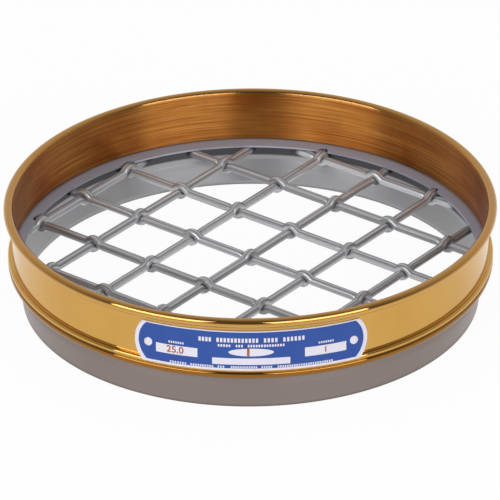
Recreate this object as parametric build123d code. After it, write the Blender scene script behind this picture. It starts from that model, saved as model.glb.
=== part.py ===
from build123d import *
import os
from math import asin, cos, degrees, hypot, radians, sin, sqrt

# Test sieve, 8 inch (203.2 mm) frame, half height. Millimetres, +Z up.
# The origin is the centre of the skirt's foot; the nameplate is on the -Y side.

# Frame: one spun brass sheet with a rolled rim and a two-ridge foot
mouth_radius = 101.6       # inside of the brass wall
brass_sheet = 0.8          # thickness of the brass
total_height = 44.9        # foot of the skirt to the top of the rim
roll_radius = 2.1          # outside radius of the rolled rim
roll_turn = 292            # degrees that the rim is rolled through
shoulder_height = 21.6     # top of the two ridges
foot_depth = 5.4           # from there down to the underside of the lower ridge
ridge_overhang = 2.0       # how far both ridges stand out from the wall
groove_depth = 0.8         # groove between the ridges
groove_drop = 2.2          # from the top of the ridges down to the middle of the groove
groove_half_width = 0.75   # from the middle of the groove to a ridge
lip_bend = 1.3             # bend at the bottom of the lower ridge
ridge_bend = 0.6           # other bends of the foot, along the middle of the sheet
neck_bend = 0.7            # bend from the wall to the upper ridge

# Skirt: one spun stainless sheet that nests in the mouth of the next sieve
skirt_sheet = 0.6
nest_clearance = 0.6       # between its straight part and the mouth of the next sieve
skirt_taper = 2.4          # how far it draws in towards the foot
skirt_straight_height = 11.5   # where the taper ends and the straight part begins
neck_taper = 0.1           # how far it draws in from there up to its flange
neck_drop = 0.25           # from the brass foot down to where it begins to draw in
skirt_foot_height = 1.8        # upright edge that the sieve stands on
skirt_bend = 0.6           # bends of the flange
seam_clearance = 0.05      # between the sheets that are seamed together

# Cloth ring: one bent stainless sheet above the cut ends of the wires
ring_sheet = 0.85
ring_reach = 2.7           # how far its inner edge stands in from the skirt
ring_bend_offset = 0.8     # from the inside of the skirt out to where its flat rim turns down
ring_drop = 1.2            # how far its inner edge lies below its flat rim
ring_bend = 0.9
relief_clearance = 0.2     # round a raised crossing that comes up through the ring

# Wire cloth: plain weave of crimped round wires
wires_each_way = 7
wire_diameter = 3.75
outer_wire_margin = 8.95   # from the outermost wires to the edge of the cloth
crossing_gap = 0.04        # between two wires where they cross
shoulder_bend = 3.2        # bend on each side of a crimp
cloth_angle = 52.1         # direction of the warp wires, from +X
cloth_shift = -0.5         # how far a crossing lies from the axis, each way
wire_end_clearance = 0.15  # between a cut end and the inside of the skirt
cloth_seat_gap = 0.22      # between the straight wires and the ring

# Nameplate: one bent sheet that leans on the wall and the upper ridge
plate_sheet = 0.5
plate_bottom_drop = 0.7    # how far its lower edge hangs below the top of the ridges
plate_top_gap = 2.3        # from its upper edge to the rolled rim
plate_half_width = 48.3    # along X, at the middle of its round ends
plate_end_bulge = 3.2      # how far a round end bulges past its corners
plate_clearance = 0.05

# Rivets of the nameplate
rivet_inset = 5.7          # from the end of the plate, along X
rivet_head_diameter = 3.6
rivet_head_height = 0.7
rivet_shank_diameter = 2.0
rivet_clearance = 0.05     # round the shank, in the plate and the wall

# Worked out from the sizes above
wire_radius = wire_diameter / 2
wall_outer_radius = mouth_radius + brass_sheet
ridge_radius = wall_outer_radius + ridge_overhang
foot_height = shoulder_height - foot_depth
groove_height = shoulder_height - groove_drop
lip_middle = foot_height + brass_sheet / 2
shoulder_middle = shoulder_height - brass_sheet / 2
skirt_radius = mouth_radius - nest_clearance
skirt_foot_radius = skirt_radius - skirt_taper
skirt_neck_radius = skirt_radius - neck_taper
skirt_inner_radius = skirt_neck_radius - skirt_sheet
ring_top = shoulder_height - brass_sheet - seam_clearance
flange_top = ring_top - ring_sheet - seam_clearance
ring_outer_radius = ridge_radius - brass_sheet - groove_depth - seam_clearance
ring_inner_radius = skirt_inner_radius - ring_reach
ring_bend_radius = skirt_inner_radius + ring_bend_offset
crimp = (wire_diameter + crossing_gap) / 2
crown_bend = wire_diameter + crossing_gap
crimp_turn = degrees(2 * asin(sqrt(crimp / (crown_bend + shoulder_bend) / 2)))
crimp_half_length = (crown_bend + shoulder_bend) * sin(radians(crimp_turn))
cloth_radius = skirt_inner_radius - wire_end_clearance
pitch = 2 * (cloth_radius - outer_wire_margin) / (wires_each_way - 1)
ring_inner_underside = ring_top - ring_sheet - ring_drop
relief_half_length = crimp_half_length - wire_radius / 3
cloth_height = ring_inner_underside - cloth_seat_gap - wire_radius
plate_bottom = shoulder_height - plate_bottom_drop
plate_top = total_height - 2 * roll_radius - plate_top_gap
rivet_height = (plate_bottom + plate_top) / 2
rivet_offset = plate_half_width - rivet_inset


def spun_sheet(middle_line, thickness):
    """A sheet of even thickness, turned about Z, from its middle line in the XZ plane."""
    with BuildSketch(Plane.XZ) as section:
        with BuildLine():
            add(middle_line)
            offset(amount=thickness / 2, side=Side.BOTH, kind=Kind.INTERSECTION)
        make_face()
    return revolve(section.sketch, Axis.Z).solid()


def frame_middle_line():
    wall = mouth_radius + brass_sheet / 2
    ridge = ridge_radius - brass_sheet / 2
    lip_end = skirt_radius + seam_clearance + brass_sheet / 2
    points = [
        (lip_end, lip_middle),
        (ridge, lip_middle),
        (ridge, groove_height - groove_half_width),
        (ridge - groove_depth, groove_height),
        (ridge, groove_height + groove_half_width),
        (ridge, shoulder_middle),
        (wall, shoulder_middle),
        (wall, total_height - roll_radius),
    ]
    bends = [lip_bend, ridge_bend, ridge_bend, ridge_bend, ridge_bend, neck_bend]
    with BuildLine() as line:
        foot = FilletPolyline(*points, radius=bends)
        JernArc(foot @ 1, foot % 1, radius=roll_radius - brass_sheet / 2, arc_size=-roll_turn)
    return line.line


def skirt_middle_line():
    half = skirt_sheet / 2
    flange = ring_outer_radius - half
    flange_middle = flange_top - half
    flange_end = lip_middle + brass_sheet / 2 + seam_clearance + half
    points = [
        (skirt_foot_radius - half, 0),
        (skirt_foot_radius - half, skirt_foot_height),
        (skirt_radius - half, skirt_straight_height),
        (skirt_radius - half, foot_height - neck_drop),
        (skirt_neck_radius - half, flange_middle),
        (flange, flange_middle),
        (flange, flange_end),
    ]
    bends = [2 * skirt_bend, 4 * skirt_bend, 10 * skirt_bend, skirt_bend, skirt_bend]
    with BuildLine() as line:
        FilletPolyline(*points, radius=bends)
    return line.line


def skirt():
    """The spun sheet, trimmed flat at the foot."""
    sheet = spun_sheet(skirt_middle_line(), skirt_sheet)
    return split(sheet, bisect_by=Plane.XY, keep=Keep.TOP).solid()


def ring_middle_line():
    half = ring_sheet / 2
    points = [
        (ring_outer_radius - half, ring_top - half),
        (ring_bend_radius, ring_top - half),
        (ring_inner_radius, ring_inner_underside + half),
    ]
    with BuildLine() as line:
        FilletPolyline(*points, radius=ring_bend)
    return line.line


def cloth_direction(along_warp):
    """Unit vectors along a wire and across to its next neighbour."""
    turn = radians(cloth_angle)
    warp = Vector(cos(turn), sin(turn), 0)
    weft = Vector(sin(turn), -cos(turn), 0)
    return (warp, weft) if along_warp else (weft, warp)


def wire_steps():
    return range(wires_each_way)


def lattice(step):
    """How far a wire lies from the axis."""
    return (step - (wires_each_way - 1) / 2) * pitch + cloth_shift


def wire_is_over(step, crossing_step, along_warp):
    """Plain weave: the wires go over and under each other in turn."""
    return ((step + crossing_step) % 2 == 0) == along_warp


def crossings(step):
    """The crossings that lie inside the cloth, on one wire."""
    return [other for other in wire_steps() if hypot(lattice(step), lattice(other)) < cloth_radius]


def crimped_line(step, along_warp):
    """The middle line of a wire, as straight runs and tangent arcs, X along the wire and Y up."""
    reach = cloth_radius + crimp_half_length
    with BuildLine() as line:
        end = Vector(-reach, 0)
        for other in crossings(step):
            up = 1 if wire_is_over(step, other, along_warp) else -1
            start = Vector(lattice(other) - crimp_half_length, 0)
            run = Line(end, start)
            rise = JernArc(start, (1, 0), radius=shoulder_bend, arc_size=up * crimp_turn)
            crown = JernArc(rise @ 1, rise % 1, radius=crown_bend, arc_size=-2 * up * crimp_turn)
            fall = JernArc(crown @ 1, crown % 1, radius=shoulder_bend, arc_size=up * crimp_turn)
            end = Vector(lattice(other) + crimp_half_length, 0)
        Line(end, Vector(reach, 0))
    return line.line


def crimped_wire(step, along_warp):
    along, across = cloth_direction(along_warp)
    origin = across * lattice(step) + Vector(0, 0, cloth_height)
    plane = Plane(origin=origin, x_dir=along, z_dir=along.cross(Vector(0, 0, 1)))
    path = plane * crimped_line(step, along_warp)
    section = Plane(origin=path @ 0, z_dir=path % 0) * Circle(wire_radius)
    wire = sweep(section, path=path)
    cut = Pos(0, 0, cloth_height) * Cylinder(cloth_radius, 4 * wire_diameter)
    return (wire & cut).solid()


def crossing_relief(step, other, along_warp):
    """A slot over one crossing, along the wire that is raised and a little wider than it."""
    along, across = cloth_direction(along_warp)
    middle = along * lattice(other) + across * lattice(step) + Vector(0, 0, ring_top)
    slot_width = wire_diameter + 2 * relief_clearance
    slot = Box(2 * relief_half_length, slot_width, 4 * wire_diameter)
    slot = fillet(slot.edges().filter_by(Axis.Z), slot_width / 2.01)
    return Plane(origin=middle, x_dir=along, z_dir=(0, 0, 1)) * slot


def cloth_ring():
    ring = spun_sheet(ring_middle_line(), ring_sheet)
    ring -= Pos(0, 0, ring_top) * Cylinder(ring_inner_radius, 4 * wire_diameter)
    for step in wire_steps():
        for other in crossings(step):
            under_ring = hypot(lattice(step), lattice(other)) + crimp_half_length > ring_inner_radius
            if under_ring:
                along_warp = wire_is_over(step, other, True)
                own, crossed = (step, other) if along_warp else (other, step)
                ring -= crossing_relief(own, crossed, along_warp)
    return ring.solid()


def plate_outline(margin):
    """The nameplate from the front, as a slab that reaches through the wall."""
    height = plate_top - plate_bottom
    middle = (plate_top + plate_bottom) / 2
    corner = plate_half_width - plate_end_bulge
    with BuildSketch(Plane.XZ) as front:
        with BuildLine():
            top = Line((-corner, plate_top), (corner, plate_top))
            right = ThreePointArc(top @ 1, (plate_half_width, middle), (corner, plate_bottom))
            bottom = Line(right @ 1, (-corner, plate_bottom))
            ThreePointArc(bottom @ 1, (-plate_half_width, middle), top @ 0)
        make_face()
    return extrude(front.sketch, amount=margin)


def plate_lean():
    """How far the back of the plate leans out, for each millimetre down."""
    foot = ridge_radius - mouth_radius - brass_sheet
    return foot / (plate_top - plate_bottom)


def plate_back_radius(height):
    return wall_outer_radius + plate_clearance + plate_lean() * (plate_top - height)


def rivet_plane(side):
    """On the front of the nameplate, square to it, looking out."""
    front = plate_back_radius(rivet_height) + plate_sheet
    across = side * rivet_offset
    outward = Vector(across, -sqrt(front**2 - across**2), 0) / front
    tilt = Vector(0, 0, plate_lean())
    origin = outward * front + Vector(0, 0, rivet_height)
    return Plane(origin=origin, z_dir=(outward + tilt).normalized())


def rivet_hole(side):
    depth = 2 * (ridge_radius - mouth_radius)
    hole = Cylinder(rivet_shank_diameter / 2 + rivet_clearance, depth)
    return rivet_plane(side) * hole


def rivet(side):
    """A domed head on the nameplate and a shank that ends inside the wall."""
    front = plate_back_radius(rivet_height) + plate_sheet
    shank_length = front - mouth_radius - rivet_clearance
    head_radius = rivet_head_diameter / 2
    crown = rivet_head_height / 2
    dome_radius = (head_radius**2 + crown**2) / (2 * crown)
    dome = Pos(0, 0, rivet_head_height - dome_radius) * Sphere(dome_radius)
    head = Cylinder(head_radius, rivet_head_height, align=(Align.CENTER, Align.CENTER, Align.MIN)) & dome
    head -= Pos(0, 0, rivet_clearance / 2) * Cylinder(2 * head_radius, rivet_clearance)
    shank = Pos(0, 0, crown) * Cylinder(
        rivet_shank_diameter / 2, shank_length + crown, align=(Align.CENTER, Align.CENTER, Align.MAX)
    )
    return (rivet_plane(side) * (head + shank)).solid()


def brass_frame():
    frame = spun_sheet(frame_middle_line(), brass_sheet)
    for side in (-1, 1):
        frame -= rivet_hole(side)
    return frame.solid()


def nameplate():
    top_back = (plate_back_radius(plate_top), plate_top)
    bottom_back = (plate_back_radius(plate_bottom), plate_bottom)
    with BuildSketch(Plane.XZ) as section:
        with BuildLine():
            Polyline(
                top_back,
                bottom_back,
                (bottom_back[0] + plate_sheet, plate_bottom),
                (top_back[0] + plate_sheet, plate_top),
                close=True,
            )
        make_face()
    plate = revolve(section.sketch, Axis.Z) & plate_outline(2 * mouth_radius)
    for side in (-1, 1):
        plate -= rivet_hole(side)
    return plate.solid()


def test_sieve():
    pieces = {
        "brass_frame": brass_frame(),
        "skirt": skirt(),
        "cloth_ring": cloth_ring(),
        "nameplate": nameplate(),
        "nameplate_rivet_left": rivet(-1),
        "nameplate_rivet_right": rivet(1),
    }
    for number, step in enumerate(wire_steps(), start=1):
        pieces[f"warp_wire_{number}"] = crimped_wire(step, True)
        pieces[f"weft_wire_{number}"] = crimped_wire(step, False)
    return pieces


os.makedirs("parts", exist_ok=True)
for node, solid in test_sieve().items():
    export_step(solid, f"parts/{node}.step")
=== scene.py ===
from math import asin, cos, degrees, hypot, pi, radians, sin, sqrt, tan

import bmesh
import bpy
from mathutils import Matrix, Vector


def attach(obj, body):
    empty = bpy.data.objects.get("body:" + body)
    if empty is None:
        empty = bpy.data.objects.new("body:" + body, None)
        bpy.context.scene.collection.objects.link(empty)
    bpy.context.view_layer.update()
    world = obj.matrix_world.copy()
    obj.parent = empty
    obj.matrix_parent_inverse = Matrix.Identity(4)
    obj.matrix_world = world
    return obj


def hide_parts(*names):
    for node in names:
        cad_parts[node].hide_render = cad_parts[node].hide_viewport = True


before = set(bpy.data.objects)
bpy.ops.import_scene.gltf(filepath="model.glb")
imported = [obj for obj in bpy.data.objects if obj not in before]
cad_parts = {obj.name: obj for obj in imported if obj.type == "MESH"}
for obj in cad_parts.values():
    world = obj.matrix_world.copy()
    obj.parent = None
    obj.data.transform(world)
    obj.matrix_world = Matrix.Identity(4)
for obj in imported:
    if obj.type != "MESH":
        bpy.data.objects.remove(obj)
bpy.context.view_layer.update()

mm = 0.001
mergeDistance = 0.001  # mm, points closer than this are one
bendFacet = 12  # degrees that each facet of a bend turns through


# Shared helpers

def hexColour(text):  # "#rrggbb" as sRGB, turned to the linear values that Blender takes
    channels = [int(text[start:start + 2], 16) / 255 for start in (1, 3, 5)]
    linear = [c / 12.92 if c <= 0.04045 else ((c + 0.055) / 1.055) ** 2.4 for c in channels]
    return (*linear, 1.0)


def addNode(tree, kind, settings=None, links=None):  # settings are sockets by name or number, or node options
    node = tree.nodes.new(kind)
    for key, value in (settings or {}).items():
        if isinstance(key, int) or key in node.inputs:
            node.inputs[key].default_value = value
        else:
            setattr(node, key, value)
    for key, socket in (links or {}).items():
        tree.links.new(socket, node.inputs[key])
    return node


def newFinish(name, settings):  # a material with its Principled shader set
    material = bpy.data.materials.new(name)
    material.use_nodes = True
    shader = material.node_tree.nodes["Principled BSDF"]
    for key, value in settings.items():
        shader.inputs[key].default_value = value
    return material, material.node_tree, shader


def placePiece(bm, name, finishes, replaced=(), smooth=True):
    # the mesh is in metres in its place, and the object stays at the origin
    for face in bm.faces:
        face.smooth = smooth
    mesh = bpy.data.meshes.new(name)
    bm.to_mesh(mesh)
    bm.free()
    for finish in finishes:
        mesh.materials.append(finish)
    piece = bpy.data.objects.new(name, mesh)
    bpy.context.scene.collection.objects.link(piece)
    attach(piece, "root")
    if replaced:
        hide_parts(*replaced)
    return piece


def sharpenEdges(bm, angle):  # keeps cut edges crisp under smooth shading
    for edge in bm.edges:
        edge.smooth = not edge.is_manifold or edge.calc_face_angle() < radians(angle)


def spunSheet(corners, bends, steps, roll=None):
    # the middle line of the sheet from its corners, each rounded to its bend, then turned about Z
    bm = bmesh.new()
    points = [bm.verts.new((x * mm, 0, z * mm)) for x, z in corners]
    for start, end in zip(points, points[1:]):
        bm.edges.new((start, end))
    if roll:  # the rim is rolled on from the last corner
        centre = ((corners[-1][0] + roll["radius"]) * mm, 0, corners[-1][1] * mm)
        bmesh.ops.spin(bm, geom=[points[-1]], cent=centre, axis=(0, 1, 0), dvec=(0, 0, 0),
                       angle=radians(roll["turn"]), steps=roll["steps"], use_duplicate=False)
    for number, bend in enumerate(bends, start=1):
        before, here, after = (Vector(corners[number + side]) for side in (-1, 0, 1))
        turn = (here - before).angle(after - here)
        bmesh.ops.bevel(bm, geom=[points[number]], offset=bend * tan(turn / 2) * mm, offset_type="OFFSET",
                        segments=max(3, round(degrees(turn) / bendFacet)), profile=0.5, affect="VERTICES",
                        material=-1)
    bmesh.ops.spin(bm, geom=bm.verts[:] + bm.edges[:], cent=(0, 0, 0), axis=(0, 0, 1), dvec=(0, 0, 0),
                   angle=2 * pi, steps=steps, use_merge=True, use_duplicate=False)
    bmesh.ops.remove_doubles(bm, verts=bm.verts, dist=mergeDistance * mm)
    bmesh.ops.recalc_face_normals(bm, faces=bm.faces)
    return bm


def thicken(piece, sheet, outerFinish=0):  # even thickness on both sides of the middle line
    wall = piece.modifiers.new("sheet", "SOLIDIFY")
    wall.thickness = sheet * mm
    wall.offset = 0
    wall.use_even_offset = True
    wall.material_offset = outerFinish


# Camera

view = {
    "place": (0, -2123.62, 1190.54),  # mm
    "tiltDown": 28.859,  # degrees
    "turnRight": -0.006,
    "roll": -0.373,
    "lens": 405.36,
    "sensorWidth": 36,
    "farthest": 20000,  # mm
}


def addCamera():
    camera = bpy.data.objects.new("camera", bpy.data.cameras.new("camera"))
    camera.data.lens = view["lens"]
    camera.data.sensor_width = view["sensorWidth"]
    camera.data.clip_end = view["farthest"] * mm
    turn = Matrix.Rotation(-radians(view["turnRight"]), 4, "Z")
    tilt = Matrix.Rotation(radians(90 - view["tiltDown"]), 4, "X")
    roll = Matrix.Rotation(radians(view["roll"]), 4, "Z")
    camera.matrix_world = Matrix.Translation(Vector(view["place"]) * mm) @ turn @ tilt @ roll
    bpy.context.scene.collection.objects.link(camera)
    bpy.context.scene.camera = camera


# Finishes

def radiusFromAxis(tree, place):
    flat = addNode(tree, "ShaderNodeVectorMath", {"operation": "MULTIPLY", 1: (1, 1, 0)}, {0: place})
    radius = addNode(tree, "ShaderNodeVectorMath", {"operation": "LENGTH"}, {0: flat.outputs["Vector"]})
    return radius.outputs["Value"]


def latheLines(tree, spacing, along):
    # fine rings left by spinning the sheet on a lathe: the noise changes fast up the wall or across a flat,
    # and slowly round the axis. spacing and along are in mm.
    radiusShare = 0.77  # how much the radius counts beside the height, so that flats get rings too
    place = addNode(tree, "ShaderNodeTexCoord").outputs["Object"]
    parts = addNode(tree, "ShaderNodeSeparateXYZ", links={"Vector": place})
    travel = addNode(tree, "ShaderNodeMath", {"operation": "MULTIPLY_ADD", 1: radiusShare},
                     {0: radiusFromAxis(tree, place), 2: parts.outputs["Z"]})
    joined = addNode(tree, "ShaderNodeCombineXYZ",
                     links={"X": parts.outputs["X"], "Y": parts.outputs["Y"], "Z": travel.outputs["Value"]})
    scaled = addNode(tree, "ShaderNodeMapping",
                     {"Scale": (1 / (along * mm), 1 / (along * mm), 1 / (spacing * mm))},
                     {"Vector": joined.outputs["Vector"]})
    return scaled.outputs["Vector"]


def aroundAxis(tree, shader, stretch):
    # brushed highlights stretch across the lathe rings, so the tangent runs round the axis, turned a quarter
    place = addNode(tree, "ShaderNodeTexCoord").outputs["Object"]
    tangent = addNode(tree, "ShaderNodeVectorMath", {"operation": "CROSS_PRODUCT", 0: (0, 0, 1)}, {1: place})
    tree.links.new(tangent.outputs["Vector"], shader.inputs["Tangent"])
    shader.inputs["Anisotropic"].default_value = stretch
    shader.inputs["Anisotropic Rotation"].default_value = 0.25


brassLook = {
    "bright": "#D0A256", "aged": "#C99B50",  # the polished outside, clear and tarnished
    # the inner colours are painted darker and browner than the outer ones: painted shade inside the frame
    "innerShadedBright": "#D8984C", "innerShadedAged": "#B66C2E", "innerStreak": "#7C3D17",
    "innerRadius": 101.63, "outerRadius": 102.1,  # mm, the inner finish turns to the outer one between them
    "roughness": 0.1, "innerRoughness": 0.4, "stretch": 1.0,
    "ringSpacing": 0.5, "ringLength": 50, "ringDepth": 0.06, "innerRingDepth": 0.25, "ringRelief": 0.01,
    "tarnishSize": 30,
    # painted shade: the crease between the ridges is painted dark
    "creaseTop": 20.9, "creaseRadius": 104.2, "creaseFade": (0.5, 0.7), "creaseShade": "#6B3A12",
    # painted dark reflection: the lower ridge is painted browner and darker
    "footHeight": 19.2, "footFade": 0.3, "footReflectionShare": 0.85, "footReflectionBrown": "#86551F",
    "rimHeight": 42.6, "rimFade": 0.8, "rimWear": 0.5, "rimBrown": "#A87444",
}


def spunBrass(name, look):
    # lacquered yellow brass, spun on a lathe: polished outside, and inside a brushed wall, painted darker and
    # browner as painted shade, whose rings pull each reflection into an upright band
    finish, tree, shader = newFinish(name, {"Metallic": 1.0})
    aroundAxis(tree, shader, look["stretch"])
    place = addNode(tree, "ShaderNodeTexCoord").outputs["Object"]
    radius = radiusFromAxis(tree, place)
    height = addNode(tree, "ShaderNodeSeparateXYZ", links={"Vector": place}).outputs["Z"]
    outside = addNode(tree, "ShaderNodeMapRange", {"From Min": look["innerRadius"] * mm,
                                                   "From Max": look["outerRadius"] * mm}, {"Value": radius})

    # colour: tarnish in patches, and brown streaks along the rings inside
    rings = latheLines(tree, look["ringSpacing"], look["ringLength"])
    fine = addNode(tree, "ShaderNodeTexNoise", {"Scale": 1.0, "Detail": 3.0, "Roughness": 0.6},
                   {"Vector": rings})
    cloud = addNode(tree, "ShaderNodeTexNoise", {"Scale": 1 / (look["tarnishSize"] * mm), "Detail": 4.0},
                    {"Vector": place})
    patches = addNode(tree, "ShaderNodeMapRange", {"From Min": 0.35, "From Max": 0.7},
                      {"Value": cloud.outputs["Fac"]})
    # painted shade: the inside is mixed from darker, browner colours than the outside
    inner = addNode(tree, "ShaderNodeMixRGB", {"Color1": hexColour(look["innerShadedBright"]),
                                               "Color2": hexColour(look["innerShadedAged"])},
                    {"Fac": patches.outputs["Result"]})
    streaks = addNode(tree, "ShaderNodeMapRange", {"From Min": 0.3, "From Max": 0.75},
                      {"Value": fine.outputs["Fac"]})
    shadedBrushed = addNode(tree, "ShaderNodeMixRGB", {"Color2": hexColour(look["innerStreak"])},
                      {"Fac": streaks.outputs["Result"], "Color1": inner.outputs["Color"]})
    outer = addNode(tree, "ShaderNodeMixRGB", {"Color1": hexColour(look["bright"]),
                                               "Color2": hexColour(look["aged"])},
                    {"Fac": patches.outputs["Result"]})
    colour = addNode(tree, "ShaderNodeMixRGB", links={"Fac": outside.outputs["Result"],
                                                      "Color1": shadedBrushed.outputs["Color"],
                                                      "Color2": outer.outputs["Color"]})

    # painted shade in the crease between the ridges, a painted dark reflection on the lower ridge, and wear on
    # a handled rim
    heightFade, radiusFade = look["creaseFade"]
    low = addNode(tree, "ShaderNodeMapRange", {"From Min": look["creaseTop"] * mm,
                                               "From Max": (look["creaseTop"] - heightFade) * mm},
                  {"Value": height})
    deep = addNode(tree, "ShaderNodeMapRange", {"From Min": look["creaseRadius"] * mm,
                                                "From Max": (look["creaseRadius"] - radiusFade) * mm},
                   {"Value": radius})
    crease = addNode(tree, "ShaderNodeMath", {"operation": "MULTIPLY"},
                     {0: low.outputs["Result"], 1: deep.outputs["Result"]})
    # painted shade darkens the crease
    creaseShaded = addNode(tree, "ShaderNodeMixRGB", {"Color2": hexColour(look["creaseShade"])},
                   {"Fac": crease.outputs["Value"], "Color1": colour.outputs["Color"]})
    # painted dark reflection on the lower ridge, below footHeight
    under = addNode(tree, "ShaderNodeMapRange", {"From Min": (look["footHeight"] + look["footFade"]) * mm,
                                                 "From Max": look["footHeight"] * mm,
                                                 "To Max": look["footReflectionShare"]}, {"Value": height})
    footReflected = addNode(tree, "ShaderNodeMixRGB", {"Color2": hexColour(look["footReflectionBrown"])},
                     {"Fac": under.outputs["Result"], "Color1": creaseShaded.outputs["Color"]})
    rim = addNode(tree, "ShaderNodeMapRange", {"From Min": look["rimHeight"] * mm,
                                               "From Max": (look["rimHeight"] + look["rimFade"]) * mm,
                                               "To Max": look["rimWear"]}, {"Value": height})
    handled = addNode(tree, "ShaderNodeMixRGB", {"Color2": hexColour(look["rimBrown"])},
                      {"Fac": rim.outputs["Result"], "Color1": footReflected.outputs["Color"]})
    tree.links.new(handled.outputs["Color"], shader.inputs["Base Color"])

    gloss = addNode(tree, "ShaderNodeMapRange", {"To Min": look["innerRoughness"],
                                                 "To Max": look["roughness"]},
                    {"Value": outside.outputs["Result"]})
    tree.links.new(gloss.outputs["Result"], shader.inputs["Roughness"])
    depth = addNode(tree, "ShaderNodeMapRange", {"To Min": look["innerRingDepth"],
                                                 "To Max": look["ringDepth"]},
                    {"Value": outside.outputs["Result"]})
    bump = addNode(tree, "ShaderNodeBump", {"Distance": look["ringRelief"] * mm},
                   {"Height": fine.outputs["Fac"], "Strength": depth.outputs["Result"]})
    tree.links.new(bump.outputs["Normal"], shader.inputs["Normal"])
    return finish


# painted shade: the outside of the skirt is painted darker than plain stainless, for the shaded floor that it
# reflects
shadedSkirtLook = {"dark": "#857975", "light": "#938782", "metallic": 1.0, "roughness": (0.34, 0.48),
             "stretch": 0.6, "ringSpacing": 0.5, "ringLength": 60, "ringDepth": 0.12, "ringRelief": 0.01}
skirtInnerLook = {"dark": "#949496", "light": "#A9A9AB", "metallic": 1.0, "roughness": (0.3, 0.44),
                  "stretch": 0.8, "ringSpacing": 0.5, "ringLength": 60, "ringDepth": 0.1, "ringRelief": 0.01,
                  # painted shadow: the top of the skirt's inside is darkened where the cloth ring shades it
                  "paintedShadow": "#4C4C4E", "shadowHeight": 13.2, "shadowFade": 0.9}
ringLook = {"dark": "#9A9CAA", "light": "#AFB1BE", "metallic": 0.65, "roughness": (0.49, 0.63),
            "stretch": 0.3, "ringSpacing": 0.4, "ringLength": 60, "ringDepth": 0.1, "ringRelief": 0.01}


def turnedSteel(name, look):
    # satin stainless steel: cool grey with faint turning lines, and where the look gives a painted shadow, its
    # top is darkened as painted shadow under the cloth ring
    finish, tree, shader = newFinish(name, {"Metallic": look["metallic"]})
    aroundAxis(tree, shader, look["stretch"])
    rings = latheLines(tree, look["ringSpacing"], look["ringLength"])
    fine = addNode(tree, "ShaderNodeTexNoise", {"Scale": 1.0, "Detail": 4.0, "Roughness": 0.65},
                   {"Vector": rings})
    colour = addNode(tree, "ShaderNodeMixRGB", {"Color1": hexColour(look["dark"]),
                                                "Color2": hexColour(look["light"])},
                     {"Fac": fine.outputs["Fac"]})
    # painted shadow: above this height the colour is darkened for the shade under the cloth ring
    if "paintedShadow" in look:
        place = addNode(tree, "ShaderNodeTexCoord").outputs["Object"]
        height = addNode(tree, "ShaderNodeSeparateXYZ", links={"Vector": place}).outputs["Z"]
        ringShadow = addNode(tree, "ShaderNodeMapRange", {"From Min": look["shadowHeight"] * mm,
                                                    "From Max": (look["shadowHeight"] + look["shadowFade"]) * mm},
                       {"Value": height})
        colour = addNode(tree, "ShaderNodeMixRGB", {"Color2": hexColour(look["paintedShadow"])},
                         {"Fac": ringShadow.outputs["Result"], "Color1": colour.outputs["Color"]})
    tree.links.new(colour.outputs["Color"], shader.inputs["Base Color"])
    smoothest, roughest = look["roughness"]
    gloss = addNode(tree, "ShaderNodeMapRange", {"To Min": smoothest, "To Max": roughest},
                    {"Value": fine.outputs["Fac"]})
    tree.links.new(gloss.outputs["Result"], shader.inputs["Roughness"])
    bump = addNode(tree, "ShaderNodeBump", {"Strength": look["ringDepth"],
                                            "Distance": look["ringRelief"] * mm},
                   {"Height": fine.outputs["Fac"]})
    tree.links.new(bump.outputs["Normal"], shader.inputs["Normal"])
    return finish


wireLook = {"dark": "#88898C", "light": "#C2C3C7", "metallic": 0.5, "roughness": (0.28, 0.39),
            "cloudSize": 9, "lineSpacing": 1.3, "lineLength": 60, "lineDepth": 0.1, "lineRelief": 0.03,
            # painted shade on the wire ends that run under the cloth ring
            "underRingRadius": 97.8, "underRingFade": 1.2, "underRingShade": "#3C3C3E"}


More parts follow.
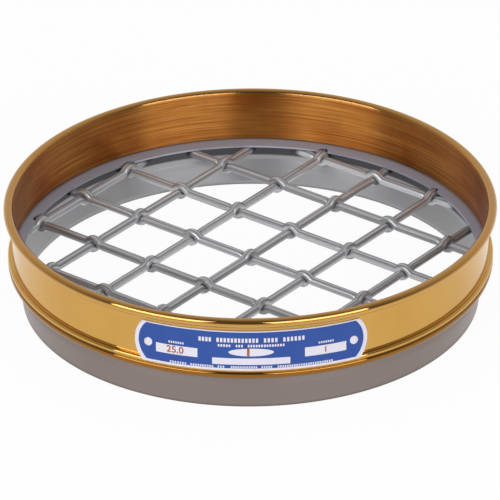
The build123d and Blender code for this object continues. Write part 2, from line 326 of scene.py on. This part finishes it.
def drawnWire(name, look, angle):
    # drawn and crimped stainless wire: bright, with lines from the die that run along the wire at this angle,
    # coarser than real ones so that they show and painted light and dark as painted highlights along the round
    # wire, and with the ends that run under the ring painted darker as painted shade
    finish, tree, shader = newFinish(name, {"Metallic": look["metallic"]})
    place = addNode(tree, "ShaderNodeTexCoord").outputs["Object"]
    turned = addNode(tree, "ShaderNodeMapping", {"Rotation": (0, 0, -radians(angle))}, {"Vector": place})
    waveLength = 2 * pi / 20  # of Blender's wave bands at a scale of 1
    drawn = addNode(tree, "ShaderNodeMapping", {"Scale": (1 / (look["lineLength"] * mm),
                                                          waveLength / (look["lineSpacing"] * mm), 1)},
                    {"Vector": turned.outputs["Vector"]})
    lines = addNode(tree, "ShaderNodeTexWave", {"wave_type": "BANDS", "bands_direction": "Y", "Scale": 1.0,
                                                "Distortion": 1.2, "Detail": 1.0},
                    {"Vector": drawn.outputs["Vector"]})
    # the light and dark bands in the colour are partly die lines and partly painted highlights along the round
    # wire
    colour = addNode(tree, "ShaderNodeMixRGB", {"Color1": hexColour(look["dark"]),
                                                "Color2": hexColour(look["light"])},
                     {"Fac": lines.outputs["Fac"]})
    # painted shade: the wire is darkened where it runs under the ring
    underRing = addNode(tree, "ShaderNodeMapRange", {"From Min": look["underRingRadius"] * mm,
                                                "From Max": (look["underRingRadius"] + look["underRingFade"]) * mm},
                   {"Value": radiusFromAxis(tree, place)})
    shadedUnderRing = addNode(tree, "ShaderNodeMixRGB", {"Color2": hexColour(look["underRingShade"])},
                     {"Fac": underRing.outputs["Result"], "Color1": colour.outputs["Color"]})
    tree.links.new(shadedUnderRing.outputs["Color"], shader.inputs["Base Color"])
    cloud = addNode(tree, "ShaderNodeTexNoise", {"Scale": 1 / (look["cloudSize"] * mm), "Detail": 3.0},
                    {"Vector": place})
    smoothest, roughest = look["roughness"]
    gloss = addNode(tree, "ShaderNodeMapRange", {"From Min": 0.3, "From Max": 0.7, "To Min": smoothest,
                                                 "To Max": roughest}, {"Value": cloud.outputs["Fac"]})
    tree.links.new(gloss.outputs["Result"], shader.inputs["Roughness"])
    bump = addNode(tree, "ShaderNodeBump", {"Strength": look["lineDepth"],
                                            "Distance": look["lineRelief"] * mm},
                   {"Height": lines.outputs["Fac"]})
    tree.links.new(bump.outputs["Normal"], shader.inputs["Normal"])
    return finish


blueLook = {"dark": "#163F8C", "light": "#204A98", "roughness": 0.35, "cloudSize": 12}
whiteLook = {"dark": "#CFCCDA", "light": "#DAD8E2", "roughness": 0.35, "cloudSize": 10}
brownLook = {"dark": "#8E5236", "light": "#9C6044", "roughness": 0.4, "cloudSize": 4}
orangePeel = {"size": 0.4, "strength": 0.06, "relief": 0.02}  # size and relief in mm


def printedEnamel(name, look):
    # baked enamel on the nameplate: even colour, slight orange peel and a satin gloss
    finish, tree, shader = newFinish(name, {"Metallic": 0.0, "Roughness": look["roughness"],
                                            "Specular IOR Level": 0.45})
    place = addNode(tree, "ShaderNodeTexCoord").outputs["Object"]
    cloud = addNode(tree, "ShaderNodeTexNoise", {"Scale": 1 / (look["cloudSize"] * mm), "Detail": 3.0},
                    {"Vector": place})
    colour = addNode(tree, "ShaderNodeMixRGB", {"Color1": hexColour(look["dark"]),
                                                "Color2": hexColour(look["light"])},
                     {"Fac": cloud.outputs["Fac"]})
    tree.links.new(colour.outputs["Color"], shader.inputs["Base Color"])
    peel = addNode(tree, "ShaderNodeTexNoise", {"Scale": 1 / (orangePeel["size"] * mm), "Detail": 1.0},
                   {"Vector": place})
    bump = addNode(tree, "ShaderNodeBump", {"Strength": orangePeel["strength"],
                                            "Distance": orangePeel["relief"] * mm},
                   {"Height": peel.outputs["Fac"]})
    tree.links.new(bump.outputs["Normal"], shader.inputs["Normal"])
    return finish


# Brass frame: one spun sheet with a rolled rim and a foot of two ridges

brass = {"sheet": 0.8, "wall": 102.0, "ridge": 104.0, "lipEnd": 101.05, "lipMiddle": 16.6,
         "shoulderMiddle": 21.2, "grooveHeight": 19.4, "grooveDepth": 0.8, "grooveHalfWidth": 0.75,
         "rollStart": 42.8, "roll": {"radius": 1.7, "turn": 292, "steps": 36},
         "bends": [1.3, 0.6, 0.6, 0.6, 0.6, 0.7], "steps": 288}


def makeBrassFrame():
    corners = [
        (brass["lipEnd"], brass["lipMiddle"]),
        (brass["ridge"], brass["lipMiddle"]),
        (brass["ridge"], brass["grooveHeight"] - brass["grooveHalfWidth"]),
        (brass["ridge"] - brass["grooveDepth"], brass["grooveHeight"]),
        (brass["ridge"], brass["grooveHeight"] + brass["grooveHalfWidth"]),
        (brass["ridge"], brass["shoulderMiddle"]),
        (brass["wall"], brass["shoulderMiddle"]),
        (brass["wall"], brass["rollStart"]),
    ]
    bm = spunSheet(corners, brass["bends"], brass["steps"], brass["roll"])
    finish = spunBrass("spun_lacquered_brass", brassLook)
    piece = placePiece(bm, "spun_brass_frame", [finish], ["brass_frame"])
    thicken(piece, brass["sheet"])


# Skirt: one spun stainless sheet, seamed inside the brass foot

skirt = {"sheet": 0.6, "foot": 98.3, "footHeight": 1.8, "straight": 100.7, "straightHeight": 11.5,
         "neck": 100.6, "neckHeight": 15.95, "flangeHeight": 19.55, "flange": 102.45, "flangeEnd": 17.05,
         "bends": [1.2, 2.4, 6, 0.6, 0.6], "steps": 288}


def makeSkirt():
    corners = [
        (skirt["foot"], 0),
        (skirt["foot"], skirt["footHeight"]),
        (skirt["straight"], skirt["straightHeight"]),
        (skirt["straight"], skirt["neckHeight"]),
        (skirt["neck"], skirt["flangeHeight"]),
        (skirt["flange"], skirt["flangeHeight"]),
        (skirt["flange"], skirt["flangeEnd"]),
    ]
    bm = spunSheet(corners, skirt["bends"], skirt["steps"])
    finishes = [turnedSteel("bright_stainless_inside", skirtInnerLook),
                # the outside finish is painted darker as painted shade
                turnedSteel("shaded_satin_stainless", shadedSkirtLook)]
    piece = placePiece(bm, "spun_steel_skirt", finishes, ["skirt"])
    thicken(piece, skirt["sheet"], 1)


# Cloth ring: the solid's own mesh, joined up and smoothed

clothRing = {"merge": 0.002, "sharpAngle": 32}


def makeClothRing():
    bm = bmesh.new()
    bm.from_mesh(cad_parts["cloth_ring"].data)
    bmesh.ops.remove_doubles(bm, verts=bm.verts, dist=clothRing["merge"] * mm)
    sharpenEdges(bm, clothRing["sharpAngle"])
    finish = turnedSteel("pressed_stainless_ring", ringLook)
    placePiece(bm, "pressed_cloth_ring", [finish], ["cloth_ring"])


# Woven wire cloth: each wire is pushed out along its run and turned over or under the wires that cross it

cloth = {"wire": 3.75, "pitch": 30.4, "shift": -0.5, "angle": 52.1, "height": 16.605, "radius": 100.15,
         "gap": 0.04, "shoulderBend": 3.2, "wiresEachWay": 7, "spareLength": 8,  # spare is trimmed off again
         "sides": 20, "shoulderSteps": 4, "crownSteps": 9, "cutTolerance": 0.0001, "sharpAngle": 50}


def latticePlace(step):
    return step * cloth["pitch"] + cloth["shift"]


def wireSteps():
    half = cloth["wiresEachWay"] // 2
    return range(-half, half + 1)


def makeWire(name, node, step, alongWarp, finish):
    crimp = (cloth["wire"] + cloth["gap"]) / 2
    crownBend = 2 * crimp
    turn = 2 * asin(sqrt(crimp / (crownBend + cloth["shoulderBend"]) / 2))
    halfLength = (crownBend + cloth["shoulderBend"]) * sin(turn)
    offset = latticePlace(step)
    reach = sqrt(cloth["radius"] ** 2 - offset ** 2)
    end = reach + cloth["spareLength"]

    bm = bmesh.new()
    start = Matrix.Translation((-end * mm, 0, 0)) @ Matrix.Rotation(pi / 2, 4, "Y")
    bmesh.ops.create_circle(bm, segments=cloth["sides"], radius=cloth["wire"] / 2 * mm, matrix=start)
    rim = bm.edges[:]

    def pushTo(edges, distance):
        moved = bmesh.ops.extrude_edge_only(bm, edges=edges)["geom"]
        points = [item for item in moved if isinstance(item, bmesh.types.BMVert)]
        here = sum(point.co.x for point in points) / len(points)
        bmesh.ops.translate(bm, verts=points, vec=(distance * mm - here, 0, 0))
        return [item for item in moved if isinstance(item, bmesh.types.BMEdge)]

    def turnRound(edges, centre, angle, count):
        corners = list(dict.fromkeys(vert for edge in edges for vert in edge.verts))
        swung = bmesh.ops.spin(bm, geom=corners + edges, cent=(centre[0] * mm, 0, centre[1] * mm),
                               axis=(0, 1, 0), dvec=(0, 0, 0), angle=angle, steps=count,
                               use_duplicate=False)["geom_last"]
        return [item for item in swung if isinstance(item, bmesh.types.BMEdge)]

    for other in wireSteps():
        place = latticePlace(other)
        if hypot(offset, place) >= cloth["radius"]:  # they would cross outside the cloth
            continue
        up = 1 if (step + other) % 2 == (0 if alongWarp else 1) else -1
        bend = up * cloth["shoulderBend"]
        rim = pushTo(rim, place - halfLength)
        rim = turnRound(rim, (place - halfLength, bend), -up * turn, cloth["shoulderSteps"])
        rim = turnRound(rim, (place, up * (crimp - crownBend)), 2 * up * turn, cloth["crownSteps"])
        rim = turnRound(rim, (place + halfLength, bend), -up * turn, cloth["shoulderSteps"])
    pushTo(rim, end)

    for side in (-1, 1):  # both ends are trimmed to the round edge of the cloth, and closed
        outward = Vector((side * reach, -offset if alongWarp else offset, 0)) / cloth["radius"]
        cut = bmesh.ops.bisect_plane(bm, geom=bm.verts[:] + bm.edges[:] + bm.faces[:],
                                     dist=cloth["cutTolerance"] * mm, plane_co=(side * reach * mm, 0, 0),
                                     plane_no=outward, clear_outer=True)
        edges = [item for item in cut["geom_cut"] if isinstance(item, bmesh.types.BMEdge)]
        bmesh.ops.holes_fill(bm, edges=edges, sides=0)

    angle = radians(cloth["angle"])
    warp = Vector((cos(angle), sin(angle), 0))
    weft = Vector((sin(angle), -cos(angle), 0))
    along, across = (warp, weft) if alongWarp else (weft, warp)
    origin = across * offset + Vector((0, 0, cloth["height"]))
    sideways = Vector((0, 0, 1)).cross(along)
    turned = Matrix((along, sideways, (0, 0, 1))).transposed().to_4x4()
    bmesh.ops.transform(bm, matrix=Matrix.Translation(origin * mm) @ turned, verts=bm.verts)
    bmesh.ops.recalc_face_normals(bm, faces=bm.faces)
    sharpenEdges(bm, cloth["sharpAngle"])
    placePiece(bm, name, [finish], [node])


def makeCloth():
    warpFinish = drawnWire("drawn_stainless_warp", wireLook, cloth["angle"])
    weftFinish = drawnWire("drawn_stainless_weft", wireLook, cloth["angle"] - 90)
    for number, step in enumerate(wireSteps(), start=1):
        makeWire(f"crimped_warp_{number}", f"warp_wire_{number}", step, True, warpFinish)
        makeWire(f"crimped_weft_{number}", f"weft_wire_{number}", step, False, weftFinish)


# Nameplate: a thin enamelled sheet that leans out from the wall onto the upper ridge

plate = {"sheet": 0.5, "bottom": 20.9, "top": 38.4, "halfWidth": 48.3, "bulge": 3.2, "backRadius": 102.45,
         # blueRise lifts the blue field so that it covers most of the white border at the top, as painted
         # shade where the rim's shadow falls
         "lean": 2.0, "blueInset": (1.6, 0.7), "blueRise": 0.3, "printRise": 0.03, "columns": 96, "rows": 16,
         "sharpAngle": 40}
whiteEnamel = printedEnamel("white_baked_enamel", whiteLook)  # for the plate's border and its white print


def leanOnFrame(bm):  # x across, z up, y how far it stands off the back of the plate
    for vert in bm.verts:
        down = (plate["top"] * mm - vert.co.z) / ((plate["top"] - plate["bottom"]) * mm)
        radius = (plate["backRadius"] + plate["lean"] * down) * mm + vert.co.y
        vert.co.y = -sqrt(radius ** 2 - vert.co.x ** 2)


def addPanel(bm, middle, size, endAt, columns, rows, rise):
    # a panel across the plate, whose half width at each height is size[0] times endAt, from -1 at its foot
    # to 1 at its top
    panel = bmesh.ops.create_grid(bm, x_segments=columns, y_segments=rows, size=1)["verts"]
    for vert in panel:
        vert.co = Vector(((middle[0] + vert.co.x * endAt(vert.co.y) * size[0]) * mm, rise * mm,
                          (middle[1] + vert.co.y * size[1]) * mm))
    bmesh.ops.remove_doubles(bm, verts=panel, dist=mergeDistance * mm)


def roundEnds(halfWidth, bulge, halfHeight):  # plate ends bulge in an arc past their corners
    radius = (halfHeight ** 2 + bulge ** 2) / (2 * bulge)
    return lambda rise: (halfWidth - radius + sqrt(radius ** 2 - (rise * halfHeight) ** 2)) / halfWidth


def facePrintOutwards(bm):  # print has one side, which faces away from the axis
    bm.normal_update()
    for face in bm.faces:
        if face.normal.dot(face.calc_center_median()) < 0:
            face.normal_flip()


def addPlatePanel(bm, inset, raised, rise):  # the plate's own outline, drawn in by the inset
    halfWidth = plate["halfWidth"] - inset[0]
    halfHeight = (plate["top"] - plate["bottom"]) / 2 - inset[1]
    middle = (plate["top"] + plate["bottom"]) / 2 + raised
    addPanel(bm, (0, middle), (halfWidth, halfHeight), roundEnds(halfWidth, plate["bulge"], halfHeight),
             plate["columns"], plate["rows"], rise)


def makeNameplate():
    bm = bmesh.new()
    addPlatePanel(bm, (0, 0), 0, plate["sheet"])
    back = bmesh.ops.extrude_face_region(bm, geom=bm.faces[:])["geom"]
    bmesh.ops.translate(bm, verts=[item for item in back if isinstance(item, bmesh.types.BMVert)],
                        vec=(0, -plate["sheet"] * mm, 0))
    leanOnFrame(bm)
    bmesh.ops.recalc_face_normals(bm, faces=bm.faces)
    sharpenEdges(bm, plate["sharpAngle"])
    placePiece(bm, "enamelled_nameplate", [whiteEnamel], ["nameplate"])

    bm = bmesh.new()
    # the blue field is raised over the top of the white border: painted shade for the rim's shadow
    addPlatePanel(bm, plate["blueInset"], plate["blueRise"], plate["sheet"] + plate["printRise"])
    leanOnFrame(bm)
    facePrintOutwards(bm)
    blueEnamel = printedEnamel("blue_baked_enamel", blueLook)
    placePiece(bm, "plate_blue_field", [blueEnamel], ())


# Print on the nameplate: boxes, an oval, rows of short ticks where words would be, and plain numbers

prints = {
    "boxes": [((-30.9, 27.9), (8.6, 2.0)), ((30.9, 27.9), (8.6, 2.0)), ((0, 25.0), (16.2, 1.45))],
    "boxRows": 3,
    "oval": {"middle": (0, 29.1), "size": (9.4, 1.75), "columns": 24, "rows": 24},
    "tickSpacing": 1.6,  # times the width of a tick
    "rows": [  # height of the row, half height and width of a tick, and where each group starts and ends
        {"height": 34.4, "half": 0.95, "tick": 0.95,
         "groups": [(-22.0, -16.4), (-14.6, 3.2), (5.0, 11.2), (13.0, 22.4)]},
        {"height": 32.0, "half": 0.55, "tick": 0.7, "groups": [(-14.0, -8.4), (-6.6, -3.2), (-1.6, 14.0)]},
        {"height": 31.3, "half": 0.45, "tick": 0.6, "groups": [(-34.4, -27.8), (27.8, 34.4)]},
        {"height": 22.5, "half": 0.45, "tick": 0.6,
         "groups": [(-34.0, -26.8), (-25.4, -15.6), (-14.2, -11.0), (-8.6, 2.6), (4.0, 8.8), (10.8, 34.0)]},
    ],
    "numbers": [
        {"text": "25.0", "middle": (-31.6, 27.9), "size": 4.2, "bold": 0.02},
        {"text": "1", "middle": (-1.2, 29.1), "size": 4.4, "bold": 0.07},
        {"text": "1", "middle": (30.9, 27.9), "size": 3.4, "bold": 0.03},
    ],
}


def straightEnds(height):
    return 1


def ovalEnds(height):
    return sqrt(max(0, 1 - height ** 2))


def makeWhitePrint():
    bm = bmesh.new()
    rise = plate["sheet"] + 2 * plate["printRise"]
    for middle, size in prints["boxes"]:
        addPanel(bm, middle, size, straightEnds, round(size[0]), prints["boxRows"], rise)
    oval = prints["oval"]
    addPanel(bm, oval["middle"], oval["size"], ovalEnds, oval["columns"], oval["rows"], rise)
    for row in prints["rows"]:
        for start, end in row["groups"]:
            count = max(1, round((end - start) / (row["tick"] * prints["tickSpacing"])))
            for number in range(count):
                middle = start + (end - start) * (number + 0.5) / count
                addPanel(bm, (middle, row["height"]), (row["tick"] / 2, row["half"]), straightEnds, 1, 1, rise)
    leanOnFrame(bm)
    facePrintOutwards(bm)
    placePiece(bm, "plate_white_print", [whiteEnamel], ())


def addNumber(name, number, ink):
    curve = bpy.data.curves.new(name, "FONT")
    curve.body = number["text"]
    curve.align_x = "CENTER"
    curve.align_y = "CENTER"
    curve.size = number["size"] * mm
    curve.offset = number["bold"] * number["size"] * mm
    holder = bpy.data.objects.new(name, curve)
    bpy.context.scene.collection.objects.link(holder)
    bpy.context.view_layer.update()
    flat = bpy.data.meshes.new_from_object(holder.evaluated_get(bpy.context.evaluated_depsgraph_get()))
    bpy.data.objects.remove(holder)
    bm = bmesh.new()
    bm.from_mesh(flat)
    bpy.data.meshes.remove(flat)
    bmesh.ops.rotate(bm, verts=bm.verts, matrix=Matrix.Rotation(pi / 2, 3, "X"))
    rise = (plate["sheet"] + 3 * plate["printRise"]) * mm
    bmesh.ops.translate(bm, verts=bm.verts, vec=(number["middle"][0] * mm, rise, number["middle"][1] * mm))
    leanOnFrame(bm)
    facePrintOutwards(bm)
    placePiece(bm, name, [ink], (), smooth=False)


def makePrint():
    makeWhitePrint()
    ink = printedEnamel("brown_printing_ink", brownLook)
    for count, number in enumerate(prints["numbers"], start=1):
        addNumber(f"number_{count}", number, ink)


def finishRivets():
    finish = printedEnamel("white_capped_rivet", whiteLook)
    for node in ("nameplate_rivet_left", "nameplate_rivet_right"):
        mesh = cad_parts[node].data
        mesh.materials.clear()
        mesh.materials.append(finish)


# Studio: pale floor, white surround, two soft boxes with a dark gap between them

studio = {
    "floorSize": 12000,
    "floorColour": "#FAFAFA",
    "floorRoughness": 0.9,
    "floorGlow": 0.95,  # the rest of the floor's white keeps the part's shadow
    "roomFront": 0.15,  # the room behind the camera is dim, and the white sweep behind the part is bright
    "roomBack": 0.8,
    "roomTurn": (-0.5, 0.7),  # how far forward and back the one fades to the other
    "boxes": [
        {"azimuth": -42, "height": 1300, "distance": 2600, "size": (2200, 1500), "power": 44},
        {"azimuth": 31, "height": 1300, "distance": 2600, "size": (2200, 1500), "power": 44},
    ],
}


def makeFloor():  # matt white paper: clean white to the eye and in the metal, with the part's shadow
    finish, tree, shader = newFinish("white_paper_floor", {"Base Color": hexColour(studio["floorColour"]),
                                                           "Roughness": studio["floorRoughness"]})
    path = addNode(tree, "ShaderNodeLightPath")
    glow = addNode(tree, "ShaderNodeEmission", {"Color": (1, 1, 1, 1), "Strength": 1.0})
    seen = addNode(tree, "ShaderNodeMath", {"operation": "MAXIMUM"},
                   {0: path.outputs["Is Camera Ray"], 1: path.outputs["Is Glossy Ray"]})
    share = addNode(tree, "ShaderNodeMath", {"operation": "MULTIPLY", 1: studio["floorGlow"]},
                    {0: seen.outputs["Value"]})
    blend = addNode(tree, "ShaderNodeMixShader", links={0: share.outputs["Value"], 1: shader.outputs["BSDF"],
                                                       2: glow.outputs["Emission"]})
    tree.links.new(blend.outputs["Shader"], tree.nodes["Material Output"].inputs["Surface"])
    bm = bmesh.new()
    bmesh.ops.create_grid(bm, x_segments=1, y_segments=1, size=studio["floorSize"] / 2 * mm)
    mesh = bpy.data.meshes.new("floor")
    bm.to_mesh(mesh)
    bm.free()
    mesh.materials.append(finish)
    floor = bpy.data.objects.new("floor", mesh)
    bpy.context.scene.collection.objects.link(floor)


def makeSurround():
    world = bpy.data.worlds.new("surround")
    bpy.context.scene.world = world
    world.use_nodes = True
    tree = world.node_tree
    path = addNode(tree, "ShaderNodeLightPath")
    direction = addNode(tree, "ShaderNodeTexCoord").outputs["Generated"]
    parts = addNode(tree, "ShaderNodeSeparateXYZ", links={"Vector": direction})
    front, back = studio["roomTurn"]
    room = addNode(tree, "ShaderNodeMapRange", {"From Min": front, "From Max": back,
                                                "To Min": studio["roomFront"], "To Max": studio["roomBack"]},
                   {"Value": parts.outputs["Y"]})
    level = addNode(tree, "ShaderNodeMath", {"operation": "MAXIMUM"},
                    {0: room.outputs["Result"], 1: path.outputs["Is Camera Ray"]})
    tree.links.new(level.outputs["Value"], tree.nodes["Background"].inputs["Strength"])
    tree.nodes["Background"].inputs["Color"].default_value = (1, 1, 1, 1)


def addSoftBoxes():  # each one faces the origin
    for number, softBox in enumerate(studio["boxes"], start=1):
        lamp = bpy.data.lights.new(f"softBox_{number}", "AREA")
        lamp.shape = "RECTANGLE"
        lamp.size, lamp.size_y = (side * mm for side in softBox["size"])
        lamp.energy = softBox["power"]
        holder = bpy.data.objects.new(lamp.name, lamp)
        azimuth = radians(softBox["azimuth"])
        place = Vector((sin(azimuth) * softBox["distance"], -cos(azimuth) * softBox["distance"],
                        softBox["height"])) * mm
        facing = place.to_track_quat("Z", "Y").to_matrix().to_4x4()
        holder.matrix_world = Matrix.Translation(place) @ facing
        bpy.context.scene.collection.objects.link(holder)


addCamera()
makeFloor()
makeSurround()
addSoftBoxes()
bpy.context.scene.view_settings.view_transform = "Standard"
print("camera and studio placed")
makeBrassFrame()
makeSkirt()
makeClothRing()
print("spun sheets made")
makeCloth()
print("wire cloth woven")
makeNameplate()
makePrint()
finishRivets()
print("nameplate printed")
